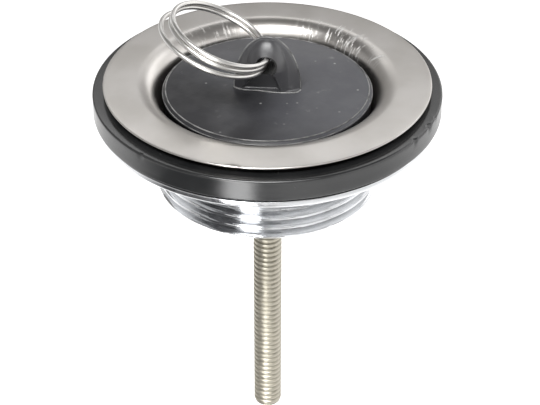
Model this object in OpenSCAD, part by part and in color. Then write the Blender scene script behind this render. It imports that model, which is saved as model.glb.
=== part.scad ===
// Sink waste: a pressed steel dish that drops into the sink's hole, a thick rubber washer and a
// threaded tail under it, and one long screw that draws the two together. A rubber plug with a
// split ring closes the dish.
// The origin is on the axis, at the plane where the flange's turned-down edge sits on the sink.

/* [Dish] */
// Diameter of the flange
flange_d = 70; // [66:1:74]
// Height of the flange's edge over the sink
flange_h = 1.45; // [1.2:0.05:1.8]
// Thickness of the pressed sheet
sheet = 0.8; // [0.6:0.1:1]
// Radius of the dish's wall just under its rolled lip
dish_r = 23.4; // [23:0.1:23.8]
// Radius of the rolled lip
lip_roll = 4.5; // [3.5:0.5:5]
// Depth of the dish's floor under the sink's surface
dish_depth = 12.6; // [12:0.1:13]
// Number of drain holes in the floor
drain_count = 6; // [4:1:6]
// Radius of a drain hole
drain_r = 4.5; // [3.5:0.1:4.6]
// Radius of the circle that the drain holes lie on
drain_pitch_r = 13.5; // [13.2:0.1:14]

/* [Plug] */
// Radius of the plug's top
plug_r = 22.4; // [22:0.1:22.5]
// Height of the plug's body
plug_h = 10; // [9:0.5:10.5]
// Thickness of the rubber over the hollow underside
plug_roof = 3.8; // [3:0.1:5]
// Height of the lug over the plug's top
lug_h = 12; // [11:0.5:14]
// Width of the lug at its foot
lug_w = 14; // [13:0.5:16]
// Height of the cross hole over the plug's top
lug_hole_h = 6.75; // [6:0.05:7]
// Turn of the lug about the axis
lug_turn = 5; // [0:1:10]

/* [Split ring] */
// Radius of the ring, to the middle of its wire
ring_r = 10.95; // [10.8:0.05:11.4]
// Diameter of the wire
wire_d = 1.05; // [0.9:0.05:1.05]
// Number of turns in the coil
ring_turns = 2.6; // [2.4:0.1:2.6]
// How far the coil's free end stands out from the other turns
free_end_out = 1.4; // [0:0.1:1.6]
// How far the coil's free end drops from the other turns
free_end_drop = 1.1; // [0:0.1:1.4]
// Lean of the ring over the horizontal
ring_lean = 24.5; // [10:0.5:60]

/* [Screw] */
// Diameter of the screw
screw_d = 6.35; // [6.2:0.05:6.4]
// Distance from one thread to the next
screw_pitch = 1.27; // [1:0.01:1.5]
// Depth of the screw's tip under the sink's surface
screw_reach = 87.3; // [70:0.1:100]

/* [Washer] */
// Diameter of the rubber washer
washer_d = 74.1; // [73:0.1:76]
// Thickness of the rubber washer
washer_t = 4.55; // [4:0.05:6]

/* [Tail] */
// Diameter of the tail's rim
rim_d = 72; // [70:0.5:73]
// Thickness of the rim at its edge
rim_t = 2.4; // [2:0.1:3]
// Outside diameter of the tail's thread
tail_d = 47.8; // [47:0.1:48.5]
// Distance from one thread of the tail to the next
tail_pitch = 2.309; // [2:0.001:2.5]
// Radius of the tail's bore
bore_r = 20.2; // [19.5:0.1:20.5]
// Depth of the tail's lower end under the sink's surface
tail_reach = 24.3; // [22.8:0.1:26]

/* [Hidden] */

round_fn = 96;     // smoothness of the large round parts
small_fn = 48;     // smoothness of the holes
running = 0.05;    // gap of a running fit, and of faces on pieces that part
inside = 0.01;     // how far a cut runs past a face

// Dish
flange_r = flange_d / 2;
edge_round = 0.7;
crown_h = flange_h + 0.3;
lip_r = dish_r + lip_roll;
lip_z = crown_h - lip_roll;
wall_foot_r = dish_r - 1.8;
corner_r = 2;
floor_z = -dish_depth;
seal_in_r = lip_r + 0.4;
seal_out_r = flange_r - sheet - 0.5;

// Screw
screw_r = screw_d / 2;
head_r = 5.6;
head_z = floor_z + 0.3;
head_dome = 0.8;
shaft_hole_r = screw_r + 0.075;
dimple_gap = 0.1;
thread_depth = 0.6 * screw_pitch;
thread_top_z = floor_z - 3.6;
tip_chamfer = 1.2;

// Plug
plug_top_z = -0.35;
plug_foot_r = plug_r - 0.95;
plug_foot_z = plug_top_z - plug_h;
hollow_r = plug_r - 4.8;
hollow_top_r = hollow_r - 0.8;

// Lug and its cross hole
fin_t = 3.6;
hub_r = 4.3;
lug_hole_r = 2.3;

// Split ring
ring_steps = 36;       // rings of points in one turn
wire_sides = 8;
coil_pitch = wire_d + 0.1;
coil_top = 1.45;       // height of the coil's first turn over the middle of the lug's hole
coil_start = -0.03;    // the coil starts inside the lug, where the turn is 0
spread_start = 2;      // the turn at which the free end leaves the others

// Washer, and the tail under it
washer_top_z = -running;
washer_foot_z = washer_top_z - washer_t;
washer_hole_r = 26;
rim_r = rim_d / 2;
rim_foot_z = washer_foot_z - rim_t;
bowl_r = 26.5;
bowl_in_r = 24.6;
bowl_foot_z = rim_foot_z - 6;
tail_r = tail_d / 2;
tail_root_r = tail_r - 0.64 * tail_pitch;
tail_top_z = bowl_foot_z - 2.2;
tail_foot_z = -tail_reach;
tail_chamfer = 0.8;

// Bridge across the tail, and the nut in its boss
boss_r = 8;
boss_top_z = floor_z - 3.3;
boss_h = 5.9;
arm_t = 3;
arm_count = 4;
nut_across = 11.1;
nut_h = 5;

// Points of an arc about a centre, from one angle to another
function arc(centre, r, from, to, n = 8) =
    [for (i = [0 : n]) centre + r * [cos(from + (to - from) * i / n), sin(from + (to - from) * i / n)]];

// Height of the flange's underside at a radius
function flange_under_z(r) =
    crown_h - sheet - (crown_h - flange_h) * (r - lip_r) / (flange_r - edge_round - lip_r);

// Pressed dish: flange, rolled lip, tapered wall and floor, all in one sheet
module dish_section() {
    foot_z = floor_z + corner_r;
    polygon(concat(
        [[flange_r, 0]],
        arc([flange_r - edge_round, flange_h - edge_round], edge_round, 0, 90),
        arc([lip_r, lip_z], lip_roll, 90, 180, 12),
        arc([wall_foot_r - corner_r, foot_z], corner_r, 0, -90),
        [[head_r - 0.3 + dimple_gap, floor_z],
         [shaft_hole_r, floor_z - (head_r - 0.3 + dimple_gap - shaft_hole_r)],
         [shaft_hole_r, floor_z - 2.6],
         [shaft_hole_r + 0.7, floor_z - 2.6],
         [shaft_hole_r + 2.5, floor_z - sheet]],
        arc([wall_foot_r - corner_r, foot_z], corner_r + sheet, -90, 0),
        arc([lip_r, lip_z], lip_roll - sheet, 180, 90, 12),
        [[flange_r - sheet, flange_under_z(flange_r - sheet)],
         [flange_r - sheet, 0]]
    ));
}

module strainer_dish() {
    color("silver")
    difference() {
        rotate_extrude($fn = round_fn)
            dish_section();
        for (i = [0 : drain_count - 1])
            rotate([0, 0, (i + 0.5) * 360 / drain_count])
            translate([drain_pitch_r, 0, floor_z - 2])
                cylinder(r = drain_r, h = 4, $fn = small_fn);
    }
}

// Thin foam ring stuck in the hollow under the flange
module flange_seal() {
    color("gainsboro")
    rotate_extrude($fn = round_fn)
        polygon([[seal_in_r, 0],
                 [seal_out_r, 0],
                 [seal_out_r, flange_under_z(seal_out_r) - running],
                 [seal_in_r, flange_under_z(seal_in_r) - running]]);
}

// Half of the lug's arched outline: an ellipse that stands on the plug
function arch(half_w, h, n = 24) =
    [for (i = [0 : n]) [half_w * cos(90 * i / n), h * sin(90 * i / n)]];

module lug() {
    half = arch(lug_w / 2, lug_h);
    other_half = [for (i = [len(half) - 2 : -1 : 0]) [-half[i][0], half[i][1]]];
    difference() {
        union() {
            rotate([90, 0, 0])
            linear_extrude(height = fin_t, center = true)
                polygon(concat(half, other_half));
            rotate_extrude($fn = small_fn)
                polygon(concat([[0, 0]], arch(hub_r, lug_h - 0.15)));
        }
        translate([0, 0, lug_hole_h])
        rotate([90, 0, 0])
            cylinder(r = lug_hole_r, h = 2 * hub_r + 2, center = true, $fn = small_fn);
    }
}

// Moulded plug: a tapered disc, hollow underneath, with its lug on top
module rubber_plug() {
    color("dimgray")
    union() {
        rotate_extrude($fn = round_fn)
            polygon([[0, plug_top_z],
                     [plug_r - 0.5, plug_top_z],
                     [plug_r, plug_top_z - 0.4],
                     [plug_foot_r, plug_foot_z],
                     [hollow_r, plug_foot_z],
                     [hollow_top_r, plug_top_z - plug_roof],
                     [0, plug_top_z - plug_roof]]);
        translate([0, 0, plug_top_z])
        rotate([0, 0, -lug_turn])
            lug();
    }
}

// Share of the free end's spread at a turn of the coil
function spread(turn) = turn < spread_start ? 0 : pow(2 * (turn - spread_start), 1.3);

// Middle of the wire at a turn of the coil. A whole turn is a pass through the lug, and the coil
// goes down from there, one wire a turn.
function coil_point(turn) =
    let (r = ring_r + free_end_out * spread(turn))
    [r * cos(360 * turn) - ring_r,
     -r * sin(360 * turn),
     coil_top - coil_pitch * turn - free_end_drop * spread(turn)];

module coil() {
    count = round(ring_steps * (ring_turns - coil_start));
    last = (count + 1) * wire_sides;
    points = [for (i = [0 : count], k = [0 : wire_sides - 1])
        let (turn = coil_start + (ring_turns - coil_start) * i / count,
             out = [cos(360 * turn), -sin(360 * turn), 0],
             a = 360 * k / wire_sides)
        coil_point(turn) + wire_d / 2 * (cos(a) * out + sin(a) * [0, 0, 1])];
    sides = [for (i = [0 : count - 1], k = [0 : wire_sides - 1])
        let (a = i * wire_sides + k, b = i * wire_sides + (k + 1) % wire_sides)
        [a, b, b + wire_sides, a + wire_sides]];
    caps = [[for (k = [wire_sides - 1 : -1 : 0]) k],
            [for (k = [0 : wire_sides - 1]) last - wire_sides + k]];
    polyhedron(points = points, faces = concat(sides, caps), convexity = 6);
}

module split_ring() {
    color("lightsteelblue")
    translate([0, 0, plug_top_z + lug_hole_h])
    rotate([0, 0, -lug_turn])
    rotate([0, ring_lean, 0])
        coil();
}

// One tooth after another down a shaft, as rings: [radius, height] pairs from the top down
function ring_threads(top_z, foot_z, pitch, crest_r, root_r, flat = 0.15) =
    let (count = floor((top_z - foot_z) / pitch))
    [for (i = [0 : count - 1], p = [[root_r, 0.5 - flat / 2], [root_r, 0.5 + flat / 2],
                                    [crest_r, 1 - flat / 2], [crest_r, 1 + flat / 2]])
        [p[0], top_z - pitch * (i + p[1])]];

// Slotted countersunk screw
module centre_screw() {
    tip_z = -screw_reach;
    cone_foot_z = head_z - (head_r - screw_r);
    threads = ring_threads(thread_top_z, tip_z + tip_chamfer + screw_pitch, screw_pitch,
                           screw_r, screw_r - thread_depth);
    color("tan")
    difference() {
        rotate_extrude($fn = small_fn)
            polygon(concat(
                [[0, head_z + head_dome],
                 [head_r * 0.55, head_z + head_dome * 0.72],
                 [head_r * 0.85, head_z + head_dome * 0.3],
                 [head_r, head_z],
                 [screw_r, cone_foot_z],
                 [screw_r, thread_top_z]],
                threads,
                [[screw_r, tip_z + tip_chamfer],
                 [screw_r - tip_chamfer, tip_z],
                 [0, tip_z]]
            ));
        translate([-head_r - 1, -0.7, head_z - 0.7])
            cube([2 * head_r + 2, 1.4, 3]);
    }
}

// Thick rubber washer between the sink and the tail
module rim_washer() {
    nick = 0.25;
    color("darkslategray")
    rotate_extrude($fn = round_fn)
        polygon([[washer_hole_r, washer_foot_z],
                 [washer_d / 2 - nick, washer_foot_z],
                 [washer_d / 2, washer_foot_z + nick],
                 [washer_d / 2, washer_top_z - nick],
                 [washer_d / 2 - nick, washer_top_z],
                 [washer_hole_r, washer_top_z]]);
}

// Outside and inside of the tail: rim, bowl and threaded neck
module tail_section() {
    edge = 0.8;
    threads = ring_threads(tail_top_z, tail_foot_z + tail_chamfer, tail_pitch, tail_r, tail_root_r, 0.2);
    polygon(concat(
        [[bowl_in_r, washer_foot_z],
         [rim_r - 0.3, washer_foot_z],
         [rim_r, washer_foot_z - 0.3]],
        arc([rim_r - edge, rim_foot_z + edge], edge, 0, -90, 6),
        [[bowl_r + 1, rim_foot_z - 1],
         [bowl_r, rim_foot_z - 2],
         [bowl_r, bowl_foot_z],
         [tail_r, tail_top_z]],
        threads,
        [[tail_r, tail_foot_z + tail_chamfer],
         [tail_r - tail_chamfer, tail_foot_z],
         [bore_r, tail_foot_z],
         [bore_r, bowl_foot_z - 1.9],
         [bowl_in_r, bowl_foot_z + 2.5]]
    ));
}

module threaded_tail() {
    boss_foot_z = boss_top_z - boss_h;
    color("white")
    difference() {
        union() {
            rotate_extrude($fn = round_fn)
                tail_section();
            translate([0, 0, boss_foot_z])
                cylinder(r = boss_r, h = boss_h, $fn = small_fn);
            for (i = [0 : arm_count / 2 - 1])
                rotate([0, 0, i * 360 / arm_count])
                translate([-bore_r - 0.5, -arm_t / 2, boss_foot_z])
                    cube([2 * bore_r + 1, arm_t, boss_h]);
        }
        translate([0, 0, boss_foot_z - inside])
            cylinder(r = shaft_hole_r + 0.4, h = boss_h + 2 * inside, $fn = small_fn);
        translate([0, 0, boss_foot_z - inside])
            cylinder(d = nut_across / cos(30), h = nut_h + inside, $fn = 6);
    }
}

// Brass nut pressed into the boss from below
module captive_nut() {
    nut_foot_z = boss_top_z - boss_h;
    color("goldenrod")
    difference() {
        translate([0, 0, nut_foot_z])
            cylinder(d = nut_across / cos(30), h = nut_h, $fn = 6);
        translate([0, 0, nut_foot_z - inside])
            cylinder(r = screw_r + running, h = nut_h + 2 * inside, $fn = small_fn);
    }
}

strainer_dish();
flange_seal();
rubber_plug();
split_ring();
centre_screw();
rim_washer();
threaded_tail();
captive_nut();
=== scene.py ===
"""Looks of the sink waste: its pieces, materials, floor, lights and camera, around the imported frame.

Lengths are in millimetres until piece() turns a mesh into metres. Shader nodes, the floor, the lights
and the camera are in metres.
"""

import math

import bmesh
import bpy
from mathutils import Matrix, Vector


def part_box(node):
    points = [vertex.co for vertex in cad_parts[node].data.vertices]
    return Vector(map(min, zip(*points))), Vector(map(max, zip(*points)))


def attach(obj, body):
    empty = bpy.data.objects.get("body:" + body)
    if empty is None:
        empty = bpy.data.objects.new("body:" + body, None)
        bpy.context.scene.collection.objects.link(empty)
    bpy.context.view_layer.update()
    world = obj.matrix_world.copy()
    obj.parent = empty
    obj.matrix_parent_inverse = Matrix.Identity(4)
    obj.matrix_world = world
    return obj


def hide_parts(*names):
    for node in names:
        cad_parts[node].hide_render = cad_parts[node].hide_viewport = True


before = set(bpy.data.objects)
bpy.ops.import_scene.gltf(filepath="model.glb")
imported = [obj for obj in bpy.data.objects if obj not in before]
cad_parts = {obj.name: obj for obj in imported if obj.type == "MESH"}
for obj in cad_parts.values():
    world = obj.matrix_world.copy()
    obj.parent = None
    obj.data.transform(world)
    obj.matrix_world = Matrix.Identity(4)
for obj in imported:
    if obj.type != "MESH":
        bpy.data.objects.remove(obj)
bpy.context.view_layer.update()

MM = 0.001


def span(node):
    """Lowest and highest corner of a CAD node, in millimetres."""
    lo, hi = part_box(node)
    return lo / MM, hi / MM


_, dish_hi = span("strainer_dish")
plug_lo, plug_hi = span("rubber_plug")
screw_lo, screw_hi = span("centre_screw")
washer_lo, washer_hi = span("rim_washer")
tail_lo, tail_hi = span("threaded_tail")
nut_lo, nut_hi = span("captive_nut")

ROUND = 240        # steps round the large pieces
SMALL_ROUND = 72   # steps round the screw and the nut

# Dish
FLANGE_R = dish_hi.x
CROWN_Z = dish_hi.z
FLANGE_Z = CROWN_Z - 0.3
SHEET = 0.8
LIP_ROLL = 4.5
LIP_R = FLANGE_R - 7.1
LIP_Z = CROWN_Z - LIP_ROLL
WALL_FOOT_R = LIP_R - LIP_ROLL - 1.8
CORNER_R = 2
FLOOR_Z = -12.6
DRAIN_COUNT = 6
DRAIN_R = 4.5
DRAIN_PITCH_R = 13.5

# Screw
SCREW_R = 3.175
SCREW_PITCH = 1.27
HEAD_R = screw_hi.x
HEAD_DOME = 0.8
HEAD_Z = screw_hi.z - HEAD_DOME
TIP_Z = screw_lo.z
TIP_R = SCREW_R - 1.25
SHAFT_HOLE_R = SCREW_R + 0.075

# Plug
PLUG_R = plug_hi.x
PLUG_FOOT_Z = plug_lo.z
PLUG_TOP_Z = PLUG_FOOT_Z + 10
LUG_H = plug_hi.z - PLUG_TOP_Z
LUG_HALF_W = 7
LUG_TURN = math.radians(-5)
LUG_HOLE_X = -0.15
LUG_HOLE_Z = 6.75
LUG_HOLE_R = 2.05

# Split ring
RING_R = 10.95
WIRE_R = 0.525
RING_TURNS = 2.6
RING_START = -0.03
COIL_TOP = 1.45
COIL_PITCH = 1.15
FREE_END_OUT = 1.4
FREE_END_DROP = 1.1
SPREAD_START = 2
RING_LEAN = math.radians(24.5)

# Washer
WASHER_R = washer_hi.x
WASHER_IN_R = 26
WASHER_TOP_Z = washer_hi.z
WASHER_FOOT_Z = washer_lo.z

# Tail
RIM_R = tail_hi.x
RIM_TOP_Z = tail_hi.z
RIM_FOOT_Z = RIM_TOP_Z - 2.4
BOWL_R = 26.5
BOWL_IN_R = 24.6
BOWL_FOOT_Z = RIM_FOOT_Z - 6
TAIL_R = 23.9
TAIL_PITCH = 2.309
TAIL_TOP_Z = BOWL_FOOT_Z - 2.2
TAIL_FOOT_Z = tail_lo.z
TAIL_FOOT_R = TAIL_R - 2.0
BORE_R = 20.2
BOSS_R = 8
BOSS_TOP_Z = FLOOR_Z - 3.3
BOSS_H = 5.9
ARM_COUNT = 4
ARM_T = 3
NUT_AF = 11.1
NUT_R = NUT_AF / 2 / math.cos(math.pi / 6)


# ---------------------------------------------------------------- mesh building

def arc(centre, radius, start, end, steps=8):
    """Points of an arc as (r, z) pairs, from one angle in degrees to another."""
    points = []
    for i in range(steps + 1):
        a = math.radians(start + (end - start) * i / steps)
        points.append((centre[0] + radius * math.cos(a), centre[1] + radius * math.sin(a)))
    return points


def skin(bm, rows, wrap=True, close=False):
    """Faces between neighbouring rows of points; a row of one point is a pole."""
    made = [[bm.verts.new(p) for p in row] for row in rows]
    pairs = list(zip(made, made[1:]))
    if close:
        pairs.append((made[-1], made[0]))
    for a, b in pairs:
        count = max(len(a), len(b))
        for i in range(count if wrap else count - 1):
            j = (i + 1) % count
            corners = [a[i % len(a)], a[j % len(a)], b[j % len(b)], b[i % len(b)]]
            unique = list(dict.fromkeys(corners))
            if len(unique) > 2:
                bm.faces.new(unique)


def ring_row(r, z, steps):
    """A circle of points about the axis, or one point on it."""
    if r < 1e-6:
        return [(0, 0, z)]
    turns = [2 * math.pi * i / steps for i in range(steps)]
    return [(r * math.cos(a), r * math.sin(a), z) for a in turns]


def lathe(bm, outline, steps=ROUND, close=False):
    """Turns an outline of (r, z) pairs about the axis."""
    skin(bm, [ring_row(r, z, steps) for r, z in outline], close=close)


def helix_band(bm, top_z, foot_z, pitch, profile, steps, start):
    """The outside of a screw thread: profile(share of a pitch, z) is its radius at a height."""
    per_pitch = 14
    turns = math.ceil((top_z - foot_z) / pitch + start) + 1
    columns = []
    for i in range(steps + 1):
        column = []
        for k in range(turns * per_pitch + 1):
            row = k - (per_pitch if i == steps else 0)
            down = row / per_pitch - (i % steps) / steps
            z = max(foot_z, min(top_z, top_z - pitch * (down - start)))
            a = 2 * math.pi * (i % steps) / steps
            r = profile(down % 1, z)
            column.append(bm.verts.new((r * math.cos(a), r * math.sin(a), z)))
        columns.append(column)
    for a, b in zip(columns, columns[1:]):
        for k in range(turns * per_pitch):
            bm.faces.new((a[k], a[k + 1], b[k + 1], b[k]))


def weld(bm, gap=0.002):
    """Joins points that coincide, and drops faces without area."""
    bmesh.ops.remove_doubles(bm, verts=bm.verts, dist=gap)
    bmesh.ops.dissolve_degenerate(bm, edges=bm.edges, dist=gap)


def temp_object(bm, name):
    """A scratch object in millimetres, for modifiers to work on."""
    mesh = bpy.data.meshes.new(name)
    bmesh.ops.recalc_face_normals(bm, faces=bm.faces)
    bm.to_mesh(mesh)
    bm.free()
    obj = bpy.data.objects.new(name, mesh)
    bpy.context.scene.collection.objects.link(obj)
    return obj


def settled(obj):
    """The object's mesh with its modifiers applied, as a bmesh; the object goes."""
    bpy.context.view_layer.update()
    graph = bpy.context.evaluated_depsgraph_get()
    mesh = obj.evaluated_get(graph).to_mesh()
    bm = bmesh.new()
    bm.from_mesh(mesh)
    obj.evaluated_get(graph).to_mesh_clear()
    bpy.data.objects.remove(obj)
    return bm


def cut(bm, cutter):
    """Takes the cutter's solid out of bm's, and the slivers that the cut leaves."""
    body = temp_object(bm, "cut_body")
    tool = temp_object(cutter, "cut_tool")
    modifier = body.modifiers.new("cut", "BOOLEAN")
    modifier.operation = "DIFFERENCE"
    modifier.solver = "EXACT"
    modifier.object = tool
    done = settled(body)
    bpy.data.objects.remove(tool)
    weld(done, 0.001)
    return done


def out_and_aside(v, a):
    """How far a point lies out towards an angle, and how far beside that line."""
    out = v.co.x * math.cos(a) + v.co.y * math.sin(a)
    aside = abs(v.co.y * math.cos(a) - v.co.x * math.sin(a))
    return out, aside


def push_in(v, a, push):
    """Moves a point towards the axis along an angle."""
    v.co.x -= push * math.cos(a)
    v.co.y -= push * math.sin(a)


def piece(bm, name, body, material, stands_for=(), sharp=35):
    """Makes a piece from a bmesh in millimetres and lets it ride on a body."""
    bmesh.ops.scale(bm, vec=(MM, MM, MM), verts=bm.verts)
    bmesh.ops.recalc_face_normals(bm, faces=bm.faces)
    mesh = bpy.data.meshes.new(name)
    bm.to_mesh(mesh)
    bm.free()
    mesh.polygons.foreach_set("use_smooth", [True] * len(mesh.polygons))
    mesh.set_sharp_from_angle(angle=math.radians(sharp))
    mesh.materials.append(material)
    obj = bpy.data.objects.new(name, mesh)
    bpy.context.scene.collection.objects.link(obj)
    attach(obj, body)
    if stands_for:
        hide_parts(*stands_for)


# ---------------------------------------------------------------- materials

class Shader:
    """A Principled material and short ways to add its nodes.

    A metal's roughness stays on one side of 0.274, because the denoiser draws a line where it crosses.
    """

    def __init__(self, name, metallic, roughness):
        self.material = bpy.data.materials.new(name)
        self.material.use_nodes = True
        self.tree = self.material.node_tree
        self.bsdf = self.tree.nodes["Principled BSDF"]
        self.bsdf.inputs["Metallic"].default_value = metallic
        self.bsdf.inputs["Roughness"].default_value = roughness
        self.place = self.add("ShaderNodeTexCoord").outputs["Object"]

    def add(self, kind, **settings):
        node = self.tree.nodes.new(kind)
        for key, value in settings.items():
            setattr(node, key, value)
        return node

    def link(self, source, target):
        self.tree.links.new(source, target)

    def feed(self, socket, value):
        """Links a socket to another node's output, or sets it to a number."""
        if isinstance(value, bpy.types.NodeSocket):
            self.link(value, socket)
        else:
            socket.default_value = value

    def math(self, operation, a, b=0.0):
        node = self.add("ShaderNodeMath", operation=operation)
        self.feed(node.inputs[0], a)
        self.feed(node.inputs[1], b)
        return node.outputs[0]

    def polar(self):
        """The turn about the axis in radians, the distance from it, and the height."""
        x, y, z = self.split(self.place)
        squares = self.math("ADD", self.math("MULTIPLY", x, x), self.math("MULTIPLY", y, y))
        return self.math("ARCTAN2", y, x), self.math("SQRT", squares), z

    def stretched(self, values, scales):
        """A vector of three values, each times its own scale."""
        joined = self.add("ShaderNodeCombineXYZ")
        for socket, value, scale in zip(joined.inputs, values, scales):
            self.link(self.math("MULTIPLY", value, scale), socket)
        return joined.outputs[0]

    def split(self, vector):
        node = self.add("ShaderNodeSeparateXYZ")
        self.link(vector, node.inputs[0])
        return node.outputs

    def bump_at(self, value, centre, half_width):
        """1 where the value is at a centre, falling softly to 0 at a half width from it."""
        off = self.math("ABSOLUTE", self.math("SUBTRACT", value, centre))
        return self.ramp(off, half_width * 0.4, half_width, 1.0, 0.0)

    def noise(self, scale, detail=3.0, vector=None):
        node = self.add("ShaderNodeTexNoise")
        self.link(vector or self.place, node.inputs["Vector"])
        node.inputs["Scale"].default_value = scale
        node.inputs["Detail"].default_value = detail
        return node.outputs["Fac"]

    def specks(self, scale, size):
        """1 in small round specks and 0 between them."""
        node = self.add("ShaderNodeTexVoronoi")
        self.link(self.place, node.inputs["Vector"])
        node.inputs["Scale"].default_value = scale
        return self.ramp(node.outputs["Distance"], size * 0.6, size, 1.0, 0.0)

    def ramp(self, value, from_min, from_max, to_min, to_max):
        node = self.add("ShaderNodeMapRange", interpolation_type="SMOOTHSTEP")
        self.feed(node.inputs[0], value)
        for socket, number in zip(node.inputs[1:5], (from_min, from_max, to_min, to_max)):
            socket.default_value = number
        return node.outputs[0]

    def blend(self, share, a, b):
        """A colour between a and b; either may be a colour or another node's output."""
        node = self.add("ShaderNodeMix", data_type="RGBA")
        self.feed(node.inputs[0], share)
        for socket, colour in ((node.inputs[6], a), (node.inputs[7], b)):
            if isinstance(colour, bpy.types.NodeSocket):
                self.link(colour, socket)
            else:
                socket.default_value = (*colour, 1.0)
        return node.outputs[2]

    def finish(self, colour, roughness=None, height=None, depth=0.05):
        """Links the colour, the roughness and a bump of some depth in millimetres."""
        self.link(colour, self.bsdf.inputs["Base Color"])
        if roughness is not None:
            self.link(roughness, self.bsdf.inputs["Roughness"])
        if height is not None:
            bump = self.add("ShaderNodeBump")
            bump.inputs["Distance"].default_value = depth * MM
            self.link(height, bump.inputs["Height"])
            self.link(bump.outputs[0], self.bsdf.inputs["Normal"])
        return self.material


def satin_steel():
    """Pressed stainless sheet: soft mottling, radial draw marks on the lip in two places, a scratch, and
    painted shade low on the flange's turned-down edge.
    """
    s = Shader("satin_steel", 1.0, 0.3)
    turn, radius, z = s.polar()
    drawn = s.stretched((turn, radius, z), (10.0, 50.0, 50.0))
    mottle = s.noise(90.0, 4.0)
    near_lip = s.ramp(radius, 0.0268, 0.0295, 1.0, 0.0)
    left_sector = s.math("MULTIPLY", s.bump_at(turn, 2.10, 0.40), 0.45)
    sectors = s.math("MAXIMUM", s.bump_at(turn, 0.82, 0.62), left_sector)
    streaks = s.ramp(s.noise(6.0, 3.0, drawn), 0.54, 0.66, 0.0, 1.0)
    marks = s.math("MULTIPLY", s.math("MULTIPLY", streaks, near_lip), sectors)
    bent = s.math("ADD", turn, s.math("MULTIPLY", s.math("SUBTRACT", radius, 0.0256), 20.0))
    scratch = s.math("MULTIPLY", s.bump_at(bent, 0.40, 0.016), s.bump_at(radius, 0.0258, 0.0018))
    marks = s.math("MAXIMUM", marks, scratch)
    base = s.blend(s.ramp(mottle, 0.3, 0.7, 0.0, 1.0), (0.555, 0.533, 0.505), (0.632, 0.61, 0.587))
    # Painted shade: the lower part of the wall under the flange's edge is coloured near black, for the
    # shadow in the gap there.
    low = s.ramp(z, 0.0009, 0.0012, 1.0, 0.0)
    outer = s.ramp(radius, 0.0328, 0.0334, 0.0, 1.0)
    painted_gap_shade = s.math("MULTIPLY", low, outer)
    colour = s.blend(painted_gap_shade, s.blend(marks, base, (0.88, 0.87, 0.85)), (0.015, 0.013, 0.012))
    satin = s.ramp(s.noise(70.0, 2.0), 0.3, 0.7, 0.285, 0.34)
    rough = s.math("ADD", satin, s.math("MULTIPLY", marks, 0.22))
    height = s.math("ADD", s.noise(60.0, 1.0), s.math("MULTIPLY", marks, 0.6))
    return s.finish(colour, rough, height, 0.04)


def white_foam():
    s = Shader("white_foam", 0.0, 0.9)
    cells = s.noise(2400.0, 2.0)
    colour = s.blend(cells, (0.62, 0.62, 0.6), (0.8, 0.8, 0.78))
    return s.finish(colour, None, cells, 0.1)


def plug_rubber(name, specular, lit_side_paint, gloss=0.0, hole_x=None, hole_z=None):
    """Moulded dark grey rubber with dust and scuffs, and painted light and shade: paler towards one side
    and the back, darker beside the lug's foot and inside the cross hole.
    """
    s = Shader(name, 0.0, 0.4)
    s.bsdf.inputs["Specular IOR Level"].default_value = specular
    cloud = s.noise(70.0, 4.0)
    dark = s.blend(s.ramp(cloud, 0.3, 0.7, 0.0, 1.0), (0.014, 0.014, 0.016), (0.020, 0.020, 0.023))
    x, y, z = s.split(s.place)
    # Painted light: the colour grades from dark to the lit-side colour across the top, as if lit from one
    # side.
    across = s.math("ADD", x, s.math("MULTIPLY", y, 0.6))
    wavy = s.math("ADD", across, s.ramp(s.noise(45.0, 2.0), 0.2, 0.8, -0.008, 0.008))
    base = s.blend(s.ramp(wavy, -0.024, 0.016, 0.0, 1.0), dark, lit_side_paint)
    # Painted light: paler again towards the back.
    painted_back_light = s.ramp(y, 0.006, 0.018, 0.0, 0.5)
    base = s.blend(painted_back_light, base, (0.12, 0.12, 0.125))
    # Painted shadow: a darker patch on the plug beside the lug's foot.
    beside_lug = (-0.004, -0.0055, PLUG_TOP_Z * MM)
    away = s.add("ShaderNodeVectorMath", operation="DISTANCE")
    s.link(s.place, away.inputs[0])
    away.inputs[1].default_value = beside_lug
    shade = s.ramp(away.outputs["Value"], 0.002, 0.008, 0.6, 0.0)
    base = s.blend(shade, base, (0.010, 0.010, 0.011))
    dust = s.specks(300.0, 0.10)
    sparse = s.ramp(s.noise(75.0, 2.0), 0.50, 0.60, 0.0, 0.9)
    rubs = s.ramp(s.noise(260.0, 4.0), 0.64, 0.74, 0.0, 0.5)
    rubbed_places = s.ramp(s.noise(60.0), 0.5, 0.6, 0.0, 1.0)
    scuffs = s.math("MULTIPLY", rubs, rubbed_places)
    pale = s.math("MAXIMUM", s.math("MULTIPLY", dust, sparse), scuffs)
    dust_and_painted_shading = s.blend(pale, base, (0.30, 0.30, 0.295))
    rough = s.ramp(s.noise(190.0, 3.0), 0.35, 0.65, 0.36 - gloss, 0.52 - gloss)
    if hole_x is not None:
        aside = s.math("POWER", s.math("SUBTRACT", x, hole_x), 2.0)
        above = s.math("POWER", s.math("SUBTRACT", z, hole_z), 2.0)
        off_axis = s.math("SQRT", s.math("ADD", aside, above))
        # Painted shade: the inside of the cross hole is coloured near black, and made rough.
        in_hole = s.ramp(off_axis, 0.0021, 0.0023, 1.0, 0.0)
        dust_and_painted_shading = s.blend(in_hole, dust_and_painted_shading, (0.002, 0.002, 0.002))
        rough = s.math("MAXIMUM", rough, in_hole)
    return s.finish(dust_and_painted_shading, rough, s.noise(1500.0, 2.0), 0.02)


def flash_rubber():
    """Thin rubber flash, rubbed pale."""
    s = Shader("flash_rubber", 0.0, 0.45)
    s.bsdf.inputs["Specular IOR Level"].default_value = 1.0
    rubbed = s.ramp(s.noise(380.0, 3.0), 0.35, 0.65, 0.0, 1.0)
    return s.finish(s.blend(rubbed, (0.05, 0.05, 0.05), (0.24, 0.24, 0.235)))


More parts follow.
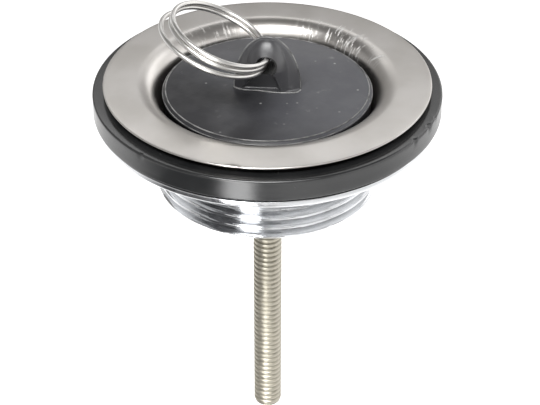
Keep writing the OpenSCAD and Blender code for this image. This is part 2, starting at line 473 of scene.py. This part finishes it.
def washer_rubber():
    """Moulded black rubber: fine rings, a low shine and a little dust."""
    s = Shader("washer_rubber", 0.0, 0.34)
    s.bsdf.inputs["Specular IOR Level"].default_value = 0.85
    rings = s.stretched(s.polar(), (2.0, 900.0, 900.0))
    lines = s.noise(1.0, 2.0, rings)
    cloud = s.noise(110.0, 4.0)
    base = s.blend(s.ramp(cloud, 0.3, 0.7, 0.0, 1.0), (0.010, 0.0105, 0.011), (0.017, 0.0175, 0.018))
    dust = s.math("MULTIPLY", s.specks(500.0, 0.12), s.ramp(s.noise(60.0, 2.0), 0.56, 0.68, 0.0, 0.7))
    colour = s.blend(dust, base, (0.3, 0.3, 0.29))
    return s.finish(colour, s.ramp(cloud, 0.3, 0.7, 0.17, 0.25), lines, 0.02)


def ring_steel():
    """Nickel-plated spring wire, a little dulled."""
    s = Shader("ring_steel", 1.0, 0.2)
    cloud = s.noise(240.0, 3.0)
    colour = s.blend(cloud, (0.62, 0.605, 0.585), (0.78, 0.77, 0.75))
    return s.finish(colour, s.ramp(cloud, 0.3, 0.7, 0.285, 0.34))


def screw_steel():
    """Rolled screw, passivated to a warm grey, with painted shade that darkens the thread roots."""
    s = Shader("screw_steel", 1.0, 0.4)
    _, radius, _ = s.polar()
    cloud = s.noise(420.0, 4.0)
    metal = s.blend(cloud, (0.42, 0.396, 0.33), (0.52, 0.49, 0.412))
    # Painted shade in the thread roots.
    root = s.ramp(radius, 0.00272, 0.0030, 0.35, 0.0)
    colour = s.blend(root, metal, (0.26, 0.24, 0.19))
    return s.finish(colour, s.ramp(cloud, 0.3, 0.7, 0.38, 0.50), cloud, 0.01)


def tail_chrome():
    """Bright chrome on cast metal: a mirror that ripples a little, with painted shade that darkens the
    thread roots.
    """
    s = Shader("tail_chrome", 1.0, 0.07)
    _, radius, _ = s.polar()
    ripple = s.noise(60.0, 2.0)
    bright = s.blend(s.noise(150.0, 3.0), (0.70, 0.71, 0.725), (0.77, 0.78, 0.795))
    # Painted shade in the thread roots.
    painted_root_shade = s.ramp(radius, 0.0227, 0.0236, 1.0, 0.0)
    colour = s.blend(s.math("MULTIPLY", painted_root_shade, 0.35), bright, (0.25, 0.26, 0.27))
    return s.finish(colour, s.ramp(s.noise(300.0, 3.0), 0.4, 0.7, 0.12, 0.22), ripple, 0.12)


def nut_brass():
    s = Shader("nut_brass", 1.0, 0.28)
    cloud = s.noise(500.0, 3.0)
    colour = s.blend(cloud, (0.66, 0.47, 0.20), (0.80, 0.60, 0.30))
    return s.finish(colour, s.ramp(cloud, 0.3, 0.7, 0.285, 0.38), cloud, 0.01)


STEEL = satin_steel()
FOAM = white_foam()
PLUG_RUBBER = plug_rubber("plug_rubber", 0.45, (0.072, 0.073, 0.081))
LUG_RUBBER = plug_rubber(
    "lug_rubber", 1.0, (0.045, 0.045, 0.049), 0.05, LUG_HOLE_X * MM, (PLUG_TOP_Z + LUG_HOLE_Z) * MM
)
FLASH_RUBBER = flash_rubber()
WASHER_RUBBER = washer_rubber()
RING_STEEL = ring_steel()
SCREW_STEEL = screw_steel()
CHROME = tail_chrome()
BRASS = nut_brass()


# ---------------------------------------------------------------- dish

def dish_outline():
    """Section of the pressed sheet, from the flange's cut edge over the top and back below."""
    edge = 0.22
    edge_r = FLANGE_R - 0.25
    droop = 0.1
    edge_z = CROWN_Z - droop
    wall_r = edge_r - 0.98
    foot_z = FLOOR_Z + CORNER_R
    cone_r = HEAD_R - 0.2
    cup_z = FLOOR_Z - 2.6
    steps = 8
    crown = []
    for i in range(steps - 1, 0, -1):
        share = i / steps
        crown.append((LIP_R + (edge_r - edge - LIP_R) * share, CROWN_Z - droop * share ** 1.7))
    under = [(r, z - SHEET) for r, z in reversed(crown)]
    floor = [
        (9.2, FLOOR_Z),
        (7.2, FLOOR_Z - 0.05),
        (cone_r + 0.25, FLOOR_Z - 0.1),
        (cone_r, FLOOR_Z - 0.25),
        (SHAFT_HOLE_R, FLOOR_Z - (cone_r - SHAFT_HOLE_R)),
        (SHAFT_HOLE_R, cup_z),
        (SHAFT_HOLE_R + 0.7, cup_z),
        (SHAFT_HOLE_R + 2.5, FLOOR_Z - SHEET),
    ]
    return (
        [(wall_r, 0.0), (wall_r + 0.5, edge_z - 2 * edge - 0.08)]
        + arc((edge_r - edge, edge_z - edge), edge, -90, 90, 10)
        + crown
        + arc((LIP_R, LIP_Z), LIP_ROLL, 90, 180, 28)
        + arc((WALL_FOOT_R - CORNER_R, foot_z), CORNER_R, 0, -90, 10)
        + floor
        + arc((WALL_FOOT_R - CORNER_R, foot_z), CORNER_R + SHEET, -90, 0, 10)
        + arc((LIP_R, LIP_Z), LIP_ROLL - SHEET, 180, 90, 20)
        + under
        + [(wall_r - 0.3, FLANGE_Z - SHEET), (wall_r - 0.04, 0.35), (wall_r - 0.04, 0.0)]
    )


def drain_cutters():
    """Cutters that leave each drain hole with a softly rounded upper edge."""
    bm = bmesh.new()
    soft = 0.35
    outline = (
        [(0, FLOOR_Z + 1), (DRAIN_R + soft, FLOOR_Z + 1)]
        + arc((DRAIN_R + soft, FLOOR_Z - soft), soft, 90, 180, 6)
        + [(DRAIN_R, FLOOR_Z - SHEET - 1), (0, FLOOR_Z - SHEET - 1)]
    )
    for i in range(DRAIN_COUNT):
        before = set(bm.verts)
        lathe(bm, outline, 64)
        new = [v for v in bm.verts if v not in before]
        a = math.radians((i + 0.5) * 360 / DRAIN_COUNT)
        place = (DRAIN_PITCH_R * math.cos(a), DRAIN_PITCH_R * math.sin(a), 0)
        bmesh.ops.translate(bm, vec=place, verts=new)
    return bm


def dent(bm, turn, inner_r, half_width, share):
    """Pushes the edge past a radius in and down at a turn in degrees, by a share of how far out it is."""
    a = math.radians(turn)
    for v in bm.verts:
        r = math.hypot(v.co.x, v.co.y)
        if r < inner_r:
            continue
        out, aside = out_and_aside(v, a)
        if out > 0 and aside < half_width:
            push = share * (r - inner_r) * math.cos(aside / half_width * math.pi / 2)
            push_in(v, a, push)
            v.co.z -= 0.6 * push


def build_dish():
    bm = bmesh.new()
    lathe(bm, dish_outline(), close=True)
    dent(bm, turn=-101, inner_r=33.9, half_width=0.9, share=0.3)
    bm = cut(bm, drain_cutters())
    piece(bm, "dish_shell", "dish", STEEL, ["strainer_dish"])


# ---------------------------------------------------------------- plug and its lug

def build_plug_body():
    """Tapered disc with a beaded edge, hollow underneath."""
    top, foot = PLUG_TOP_Z, PLUG_FOOT_Z
    foot_r = PLUG_R - 0.95
    hollow_r = PLUG_R - 4.8
    roof_z = top - 3.8
    soft = 0.6
    bead = 0.15
    bead_r = PLUG_R - bead
    outline = (
        [(0, top), (8, top), (16, top), (PLUG_R - 0.9, top), (PLUG_R - 0.75, top - 0.03)]
        + [(PLUG_R - 0.3, top - 0.5), (bead_r, top - 0.62)]
        + arc((bead_r, top - 0.8), bead, 80, -60, 8)
        + arc((foot_r - soft, foot + soft), soft, 0, -90, 6)
        + arc((hollow_r + soft, foot + soft), soft, -90, -180, 6)
        + arc((hollow_r - 1.4, roof_z - soft), soft, 0, 90, 5)
        + [(0, roof_z)]
    )
    bm = bmesh.new()
    lathe(bm, outline)
    piece(bm, "plug_body", "plug", PLUG_RUBBER, ["rubber_plug"], 50)


def soft_max(a, b, k):
    """The larger of a and b, blended where they are closer than k."""
    h = max(0.0, min(1.0, 0.5 + 0.5 * (a - b) / k))
    return b + (a - b) * h + k * h * (1 - h)


def soft_min(a, b, k):
    return -soft_max(-a, -b, k)


def lug_depth(side, x, z):
    """Half the lug's thickness at a point of its arched face, on the front (-1) or the back (1)."""
    rise = 1 - (x / LUG_HALF_W) ** 2 - (z / LUG_H) ** 2
    fin = 0.3 + 1.9 * max(rise, 0) ** 0.62
    hub_r = 4.5 * math.sqrt(max(0, 1 - (z / (LUG_H - 0.15)) ** 3))
    taper = 0.5 + 0.42 * min(1.0, z / 5.5) ** 0.8
    hub = taper * max(0.0, hub_r ** 2.5 - abs(x) ** 2.5) ** 0.4
    whole = soft_max(fin, hub, 1.5)
    out_right = x - (2.5 - 0.30 * z)
    out_left = -x - (5.2 - 0.75 * z)
    pocket = 0.8 + 0.22 * z + 2.6 * max(0.0, out_right, out_left) + 2.0 * max(0.0, z - 4.2)
    flare = foot_depth(x) - 4.0 * z if side < 0 else 0.0
    return soft_max(soft_min(whole, pocket, 0.5), flare, 0.3)


def foot_depth(x):
    """How far the lug's foot stands out in front; more so at its right end."""
    wavy = 2.0 + 0.08 * x + 0.12 * math.sin(0.9 * x)
    rounded = math.sqrt(max(0.0, 1 - (x / (LUG_HALF_W + 0.2)) ** 6))
    return wavy * rounded


def arched_sheet(side, rings=56, steps=140):
    """Rows of points from the foot's middle out to the arch, on the front (-1) or the back (1)."""
    rows = []
    for i in range(rings + 1):
        share = i / rings
        row = []
        for k in range(steps + 1):
            a = math.pi * k / steps
            x = LUG_HALF_W * share * math.cos(a)
            z = LUG_H * share * math.sin(a)
            row.append((x, side * lug_depth(side, x, z), z))
        rows.append(row)
    return rows


def build_lug():
    """Arched fin with a hub round its cross hole and a pocket below the hole, on both faces."""
    bm = bmesh.new()
    front, back = arched_sheet(-1), arched_sheet(1)
    skin(bm, front, wrap=False)
    skin(bm, back, wrap=False)
    skin(bm, [front[-1], back[-1]], wrap=False)
    foot_front = [row[-1] for row in reversed(front)] + [row[0] for row in front[1:]]
    foot_back = [row[-1] for row in reversed(back)] + [row[0] for row in back[1:]]
    sunk = -0.4
    low_front = [(x, y, sunk) for x, y, _ in foot_front]
    low_back = [(x, y, sunk) for x, y, _ in foot_back]
    skin(bm, [foot_front, low_front, low_back, foot_back], wrap=False)
    for end in (0, -1):
        corners = [foot_front[end], low_front[end], low_back[end], foot_back[end]]
        bm.faces.new([bm.verts.new(p) for p in corners])
    weld(bm, 0.001)
    hole = bmesh.new()
    reach = 7
    lathe(hole, [(0, -reach), (LUG_HOLE_R, -reach), (LUG_HOLE_R, reach), (0, reach)], 48)
    bmesh.ops.rotate(hole, cent=(0, 0, 0), matrix=Matrix.Rotation(math.pi / 2, 3, "X"), verts=hole.verts)
    bmesh.ops.translate(hole, vec=(LUG_HOLE_X, 0, LUG_HOLE_Z), verts=hole.verts)
    solid = temp_object(cut(bm, hole), "lug_solid")
    remesh = solid.modifiers.new("even", "REMESH")
    remesh.mode = "VOXEL"
    remesh.voxel_size = 0.13
    smooth = solid.modifiers.new("soft", "SMOOTH")
    smooth.factor = 0.5
    smooth.iterations = 3
    bm = settled(solid)
    turn_and_seat(bm)
    piece(bm, "plug_lug", "plug", LUG_RUBBER, ["rubber_plug"], 60)


def turn_and_seat(bm):
    """Turns the lug as the CAD lug is turned, and sets it on the plug."""
    bmesh.ops.rotate(bm, cent=(0, 0, 0), matrix=Matrix.Rotation(LUG_TURN, 3, "Z"), verts=bm.verts)
    bmesh.ops.translate(bm, vec=(0, 0, PLUG_TOP_Z), verts=bm.verts)


def tube(bm, path, radius, sides):
    """A round bar along a path, with softly rounded ends."""
    cap = radius * 0.35
    points = [Vector(p) for p in path]
    rows = []
    for i, p in enumerate(points):
        ahead = points[min(i + 1, len(points) - 1)] - points[max(i - 1, 0)]
        along = ahead.normalized()
        out = along.cross(Vector((0, 0, 1)))
        if out.length < 1e-6:
            out = along.cross(Vector((1, 0, 0)))
        out.normalize()
        up = out.cross(along)
        rows.append((p, along, out, up))
    sections = []
    for step in (0.15, 0.55, 0.85):
        sections.append((0, -cap * (1 - step), radius * math.sin(step * math.pi / 2)))
    sections += [(i, 0, radius) for i in range(len(rows))]
    for step in (0.85, 0.55, 0.15):
        sections.append((len(rows) - 1, cap * (1 - step), radius * math.sin(step * math.pi / 2)))
    skins = []
    for i, shift, r in sections:
        p, along, out, up = rows[i]
        ring = []
        for k in range(sides):
            a = 2 * math.pi * k / sides
            ring.append(p + along * shift + r * (math.cos(a) * out + math.sin(a) * up))
        skins.append(ring)
    first_p, first_along, _, _ = rows[0]
    last_p, last_along, _, _ = rows[-1]
    skins.insert(0, [first_p - first_along * cap])
    skins.append([last_p + last_along * cap])
    skin(bm, skins)


def build_flash_lines():
    """Thin moulding lines: over the lug's arch, along its foot, and round the plug's edge."""
    bm = bmesh.new()
    steps = 90
    line_r = 0.17
    arch = []
    for i in range(steps + 1):
        a = math.pi * i / steps
        arch.append((LUG_HALF_W * math.cos(a), 0, LUG_H * 0.998 * math.sin(a)))
    tube(bm, arch, line_r, 8)
    foot = []
    for i in range(steps + 1):
        x = (LUG_HALF_W + 0.1) * (2 * i / steps - 1)
        foot.append((x, -foot_depth(x) - 0.05, 0.06))
    tube(bm, foot, line_r, 8)
    turn_and_seat(bm)
    for r, z, thick in ((PLUG_R - 0.78, PLUG_TOP_Z, 0.13), (PLUG_R - 0.16, PLUG_TOP_Z - 0.62, 0.09)):
        lathe(bm, arc((r, z), thick, 0, 315, 7), close=True)
    piece(bm, "plug_flash_lines", "plug", FLASH_RUBBER, (), 60)


# ---------------------------------------------------------------- split ring

def coil_point(turn):
    """Middle of the wire at a turn of the coil, before it leans."""
    spread = 0 if turn < SPREAD_START else (2 * (turn - SPREAD_START)) ** 1.3
    r = RING_R + FREE_END_OUT * spread
    a = 2 * math.pi * turn
    return Vector((
        r * math.cos(a) - RING_R,
        -r * math.sin(a),
        COIL_TOP - COIL_PITCH * turn - FREE_END_DROP * spread,
    ))


def build_ring():
    steps = 300
    path = [coil_point(RING_START + (RING_TURNS - RING_START) * i / steps) for i in range(steps + 1)]
    lean = Matrix.Rotation(LUG_TURN, 3, "Z") @ Matrix.Rotation(RING_LEAN, 3, "Y")
    seat = Vector((0, 0, PLUG_TOP_Z + LUG_HOLE_Z))
    bm = bmesh.new()
    tube(bm, [lean @ p + seat for p in path], WIRE_R, 20)
    piece(bm, "ring_coil", "ring", RING_STEEL, ["split_ring"], 60)


# ---------------------------------------------------------------- screw

def screw_profile(share, z):
    """Rolled thread with soft crests and roots, cut off by the tip's chamfer."""
    depth = 0.33 * SCREW_PITCH
    wave = 0.5 - 0.5 * math.cos(2 * math.pi * share)
    r = SCREW_R - depth * (1 - wave) ** 3.0
    return min(r, TIP_R + (z - TIP_Z))


def build_screw():
    top_z = FLOOR_Z - 3.6
    cone_foot_z = HEAD_Z - (HEAD_R - SCREW_R)
    neck_r = SCREW_R - 0.12
    slot_w = 1.4
    slot_depth = 0.7
    slot_cut_h = 3
    head = [
        (0, HEAD_Z + HEAD_DOME),
        (1.5, HEAD_Z + HEAD_DOME * 0.95),
        (3.1, HEAD_Z + HEAD_DOME * 0.72),
        (4.76, HEAD_Z + HEAD_DOME * 0.3),
        (HEAD_R - 0.12, HEAD_Z + 0.06),
        (HEAD_R, HEAD_Z - 0.1),
        (neck_r, cone_foot_z),
        (neck_r, top_z + 0.2),
        (screw_profile(0, top_z), top_z),
    ]
    bm = bmesh.new()
    lathe(bm, head, SMALL_ROUND)
    helix_band(bm, top_z, TIP_Z, SCREW_PITCH, screw_profile_faded(top_z), SMALL_ROUND, 0)
    lathe(bm, [(TIP_R, TIP_Z), (0, TIP_Z)], SMALL_ROUND)
    weld(bm)
    slot_tool = bmesh.new()
    bmesh.ops.create_cube(slot_tool, size=1)
    bmesh.ops.scale(slot_tool, vec=(2 * HEAD_R + 2, slot_w, slot_cut_h), verts=slot_tool.verts)
    slot_middle = (0, 0, HEAD_Z - slot_depth + slot_cut_h / 2)
    bmesh.ops.translate(slot_tool, vec=slot_middle, verts=slot_tool.verts)
    bm = cut(bm, slot_tool)
    piece(bm, "screw_shank", "screw", SCREW_STEEL, ["centre_screw"], 40)


def screw_profile_faded(top_z):
    """The screw's profile, which grows out of the plain neck over the first turn."""
    root = screw_profile(0, top_z)

    def profile(share, z):
        shown = min(1.0, max(0.0, (top_z - z) / SCREW_PITCH))
        return root + (screw_profile(share, z) - root) * shown
    return profile


# ---------------------------------------------------------------- washer

def nick(bm, turn, half_width, depth):
    """Chips the washer's upper outer edge at a turn in degrees; sizes are in millimetres."""
    a = math.radians(turn)
    chip_h = 1.1
    for v in bm.verts:
        out, aside = out_and_aside(v, a)
        low = (WASHER_TOP_Z - v.co.z) / chip_h
        if out > WASHER_R - 0.8 and aside < half_width and low < 1:
            push_in(v, a, depth * (1 - low) * (1 - (aside / half_width) ** 2))


def build_washer():
    soft = 0.45
    crisp = 0.3
    r, top, foot = WASHER_R, WASHER_TOP_Z, WASHER_FOOT_Z
    outline = (
        arc((r - crisp, foot + crisp), crisp, -90, 0, 6)
        + [(r - 0.02, foot + 1.2), (r - 0.04, (top + foot) / 2)]
        + [(r - 0.02, top - 1.2), (r - 0.01, top - 0.8)]
        + arc((r - soft, top - soft), soft, 0, 90, 6)
        + [(r - 2, top), (WASHER_IN_R + 4, top)]
        + arc((WASHER_IN_R + crisp, top - crisp), crisp, 90, 180, 4)
        + arc((WASHER_IN_R + crisp, foot + crisp), crisp, 180, 270, 4)
    )
    bm = bmesh.new()
    lathe(bm, outline, 480, close=True)
    for turn, half_width, depth in ((-26, 1.0, 0.7), (-36, 0.6, 0.6), (-133, 0.5, 0.35), (-20, 0.4, 0.4)):
        nick(bm, turn, half_width, depth)
    piece(bm, "washer_ring", "tail", WASHER_RUBBER, ["rim_washer"], 50)


# ---------------------------------------------------------------- tail

def tail_profile(share, z):
    """Pipe thread with rounded crests and roots, cut off by the foot's chamfer."""
    depth = 0.64 * TAIL_PITCH
    wave = 0.5 - 0.5 * math.cos(2 * math.pi * share)
    tooth = min(1.0, max(0.0, (wave - 0.12) / 0.76))
    r = TAIL_R - depth * (1 - tooth)
    return min(r, TAIL_FOOT_R + (z - TAIL_FOOT_Z) * 1.2)


def build_tail_shell():
    edge = 0.8
    rim_r = RIM_R + 0.25
    shoulder_z = RIM_TOP_Z - 0.8
    bm = bmesh.new()
    neck_r = tail_profile(0, TAIL_TOP_Z)
    outside = (
        [(BOWL_IN_R, RIM_TOP_Z), (RIM_R - 1.2, RIM_TOP_Z), (RIM_R - 1.1, shoulder_z)]
        + arc((rim_r - 0.2, shoulder_z - 0.2), 0.2, 90, 0, 5)
        + arc((rim_r - edge, RIM_FOOT_Z + edge), edge, 0, -90, 8)
        + arc((BOWL_R + 1.6, RIM_FOOT_Z - 1.6), 1.6, 90, 180, 8)
        + arc((BOWL_R - 1.0, BOWL_FOOT_Z + 1.0), 1.0, 0, -60, 6)
        + [(neck_r, TAIL_TOP_Z + 0.4), (neck_r, TAIL_TOP_Z)]
    )
    lathe(bm, outside)
    helix_band(bm, TAIL_TOP_Z, TAIL_FOOT_Z, TAIL_PITCH, tail_profile_faded(), ROUND, 0.25)
    inside = [
        (TAIL_FOOT_R, TAIL_FOOT_Z),
        (BORE_R + 0.3, TAIL_FOOT_Z),
        (BORE_R, TAIL_FOOT_Z + 0.3),
        (BORE_R, BOWL_FOOT_Z - 2.2),
        (BORE_R + 0.25, BOWL_FOOT_Z - 1.7),
        (BOWL_IN_R - 0.3, BOWL_FOOT_Z + 2.2),
        (BOWL_IN_R, BOWL_FOOT_Z + 2.8),
        (BOWL_IN_R, RIM_TOP_Z),
    ]
    lathe(bm, inside)
    weld(bm)
    piece(bm, "tail_shell", "tail", CHROME, ["threaded_tail"], 40)


def tail_profile_faded():
    """The tail's profile, which grows out of the neck over the first half turn."""
    root = tail_profile(0, TAIL_TOP_Z)

    def profile(share, z):
        full = tail_profile(share, z)
        shown = min(1.0, max(0.0, (TAIL_TOP_Z - z) / (0.5 * TAIL_PITCH)))
        return root + (full - root) * shown if z > TAIL_FOOT_Z + 0.5 else full
    return profile


def build_bridge():
    """Four arms and a boss inside the tail, which hold the nut."""
    foot_z = BOSS_TOP_Z - BOSS_H
    soft = 0.5
    mouth_r = SHAFT_HOLE_R + 0.4
    boss = (
        [(mouth_r, BOSS_TOP_Z)]
        + arc((BOSS_R - soft, BOSS_TOP_Z - soft), soft, 90, 0, 5)
        + arc((BOSS_R - soft, foot_z + soft), soft, 0, -90, 5)
        + [(mouth_r, foot_z)]
    )
    bm = bmesh.new()
    lathe(bm, boss, SMALL_ROUND, close=True)
    hex_tool = bmesh.new()
    lathe(hex_tool, [(0, foot_z - 1), (NUT_R, foot_z - 1), (NUT_R, foot_z + 5), (0, foot_z + 5)], 6)
    bm = cut(bm, hex_tool)
    arm_start_r = BOSS_R - 0.6
    length = BORE_R + 0.5 - arm_start_r
    arm_middle = (arm_start_r + length / 2, 0, (BOSS_TOP_Z + foot_z) / 2)
    for i in range(ARM_COUNT):
        arm = bmesh.new()
        turn = Matrix.Rotation(2 * math.pi * i / ARM_COUNT, 3, "Z")
        bmesh.ops.create_cube(arm, size=1)
        bmesh.ops.scale(arm, vec=(length, ARM_T, BOSS_H - 0.4), verts=arm.verts)
        bmesh.ops.bevel(arm, geom=arm.edges[:], offset=soft, segments=3, affect="EDGES", profile=0.5)
        bmesh.ops.translate(arm, vec=arm_middle, verts=arm.verts)
        bmesh.ops.rotate(arm, cent=(0, 0, 0), matrix=turn, verts=arm.verts)
        mesh = bpy.data.meshes.new("arm")
        arm.to_mesh(mesh)
        arm.free()
        bm.from_mesh(mesh)
    piece(bm, "tail_bridge", "tail", CHROME, (), 40)


def build_nut():
    """Hexagon nut with its lower corners chamfered and a plain bore, countersunk at both ends."""
    top, foot = nut_hi.z, nut_lo.z
    bm = bmesh.new()
    lathe(bm, [(0, foot), (NUT_R, foot), (NUT_R, top), (0, top)], 6)
    chamfer = bmesh.new()
    below_z = foot - 0.01
    out_r = NUT_R + 2
    wedge = [(NUT_R - 1.0, below_z), (out_r, below_z), (out_r, foot + 1.2)]
    lathe(chamfer, wedge, SMALL_ROUND, close=True)
    bm = cut(bm, chamfer)
    bore = bmesh.new()
    bore_r = SCREW_R + 0.05
    mouth_r = bore_r + 1.5
    lower_end = [(0, foot - 1), (mouth_r, foot - 1), (bore_r, foot + 0.5)]
    upper_end = [(bore_r, top - 0.5), (mouth_r, top + 1), (0, top + 1)]
    lathe(bore, lower_end + upper_end, SMALL_ROUND)
    bm = cut(bm, bore)
    piece(bm, "nut_hex", "tail", BRASS, ["captive_nut"], 30)


# ---------------------------------------------------------------- floor, lights and camera

GROUND_Z = -0.45   # metres, as are the sizes below it
FLAG_R = 0.66
FLAG_CORE_R = 0.28


def floor_white():
    """Pale floor that glows a little, most behind the waste."""
    s = Shader("floor_white", 0.0, 0.9)
    glow = s.ramp(s.split(s.place)[1], -0.4, 0.35, 0.4, 0.8)
    s.link(glow, s.bsdf.inputs["Emission Strength"])
    s.bsdf.inputs["Emission Color"].default_value = (1, 1, 1, 1)
    return s.finish(s.blend(s.noise(3.0, 2.0), (0.90, 0.90, 0.90), (0.92, 0.92, 0.92)))


def flag_grey():
    """Grey card, dense in its middle and feathered to nothing at its rim."""
    s = Shader("flag_grey", 0.0, 0.9)
    off_centre = s.add("ShaderNodeVectorMath", operation="LENGTH")
    s.link(s.place, off_centre.inputs[0])
    feather = s.ramp(off_centre.outputs["Value"], FLAG_CORE_R, FLAG_R, 1.0, 0.0)
    s.link(feather, s.bsdf.inputs["Alpha"])
    return s.finish(s.blend(s.noise(3.0, 2.0), (0.06, 0.06, 0.065), (0.10, 0.10, 0.105)))


def add_ground(name, bm, location, material):
    """A mesh that lies flat under the waste; lengths are in metres."""
    mesh = bpy.data.meshes.new(name)
    bm.to_mesh(mesh)
    bm.free()
    mesh.materials.append(material)
    obj = bpy.data.objects.new(name, mesh)
    obj.location = location
    bpy.context.scene.collection.objects.link(obj)
    return obj


def add_floor():
    bm = bmesh.new()
    bmesh.ops.create_grid(bm, x_segments=1, y_segments=1, size=40)
    add_ground("floor", bm, (0, 0, GROUND_Z), floor_white())


def add_flag():
    """A studio flag just over the floor in front, on the left, which only reflections show."""
    bm = bmesh.new()
    bmesh.ops.create_circle(bm, cap_ends=True, segments=64, radius=FLAG_R)
    flag = add_ground("flag", bm, (-0.42, -0.44, GROUND_Z + 0.005), flag_grey())
    flag.visible_camera = False
    flag.visible_diffuse = False
    flag.visible_shadow = False


def add_softbox(name, azimuth, elevation, distance, width, height, brightness):
    """A softbox that faces the waste. Azimuth 0 is the camera's side and 90 is the right, in degrees.

    Width, height and distance are in metres; brightness is that of its surface.
    """
    light = bpy.data.lights.new(name, "AREA")
    light.shape = "RECTANGLE"
    light.size = width
    light.size_y = height
    light.energy = brightness * math.pi * width * height
    obj = bpy.data.objects.new(name, light)
    a, e = math.radians(azimuth), math.radians(elevation)
    away = Vector((math.sin(a) * math.cos(e), -math.cos(a) * math.cos(e), math.sin(e)))
    obj.location = away * distance
    obj.rotation_euler = (-away).to_track_quat("-Z", "Y").to_euler()
    obj.visible_camera = False
    bpy.context.scene.collection.objects.link(obj)


def add_lights():
    add_softbox("key_front", -4, 50, 0.8, 0.75, 0.65, 1.7)
    add_softbox("key_core", -15, 58, 0.9, 0.5, 0.36, 12.0)
    add_softbox("back_card", 180, 34, 0.45, 0.8, 0.09, 0.55)
    add_softbox("back_upper", 172, 42, 0.45, 0.62, 0.08, 1.4)
    add_softbox("back_right", 150, 16, 0.40, 0.12, 0.16, 1.2)
    add_softbox("panel_back_right", 118, 26, 0.7, 0.6, 0.5, 0.9)
    add_softbox("strip_left", -18, -12, 0.5, 0.14, 0.7, 6.0)
    add_softbox("panel_right", 70, 12, 0.7, 0.8, 0.5, 0.9)
    add_softbox("panel_left", -95, 20, 0.7, 0.6, 0.4, 0.2)


def add_world():
    """A dim studio, darker overhead and a little lighter on the right."""
    world = bpy.data.worlds.new("studio")
    bpy.context.scene.world = world
    world.use_nodes = True
    nodes, links = world.node_tree.nodes, world.node_tree.links
    direction = nodes.new("ShaderNodeSeparateXYZ")
    links.new(nodes.new("ShaderNodeTexCoord").outputs["Generated"], direction.inputs[0])
    height = nodes.new("ShaderNodeMapRange")
    sideways = nodes.new("ShaderNodeMapRange")
    for node, source, numbers in (
        (height, direction.outputs[2], (0.05, 0.85, 0.46, 0.15)),
        (sideways, direction.outputs[0], (-0.5, 0.5, 0.8, 1.2)),
    ):
        links.new(source, node.inputs[0])
        for socket, number in zip(node.inputs[1:5], numbers):
            socket.default_value = number
    joined = nodes.new("ShaderNodeMath")
    joined.operation = "MULTIPLY"
    links.new(height.outputs[0], joined.inputs[0])
    links.new(sideways.outputs[0], joined.inputs[1])
    back = nodes["Background"]
    back.inputs["Color"].default_value = (1.0, 0.985, 0.97, 1)
    links.new(joined.outputs[0], back.inputs["Strength"])


def add_camera():
    """The photograph's view: it looks along +Y and down at the waste."""
    camera = bpy.data.cameras.new("camera")
    camera.sensor_width = 36
    camera.lens = 118.2
    camera.clip_start = 0.01
    obj = bpy.data.objects.new("camera", camera)
    elevation = math.radians(34.15)
    distance = 0.3927
    aim = Vector((0.00055, 0, -0.0300))
    back = Vector((0, -math.cos(elevation), math.sin(elevation)))
    obj.location = aim + back * distance
    obj.rotation_euler = (-back).to_track_quat("-Z", "Y").to_euler()
    bpy.context.scene.collection.objects.link(obj)
    bpy.context.scene.camera = obj


build_dish()
build_plug_body()
build_lug()
build_flash_lines()
build_ring()
build_screw()
build_washer()
build_tail_shell()
build_bridge()
build_nut()
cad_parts["flange_seal"].data.materials.clear()
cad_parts["flange_seal"].data.materials.append(FOAM)
add_floor()
add_flag()
add_lights()
add_world()
add_camera()
bpy.context.scene.view_settings.view_transform = "Standard"
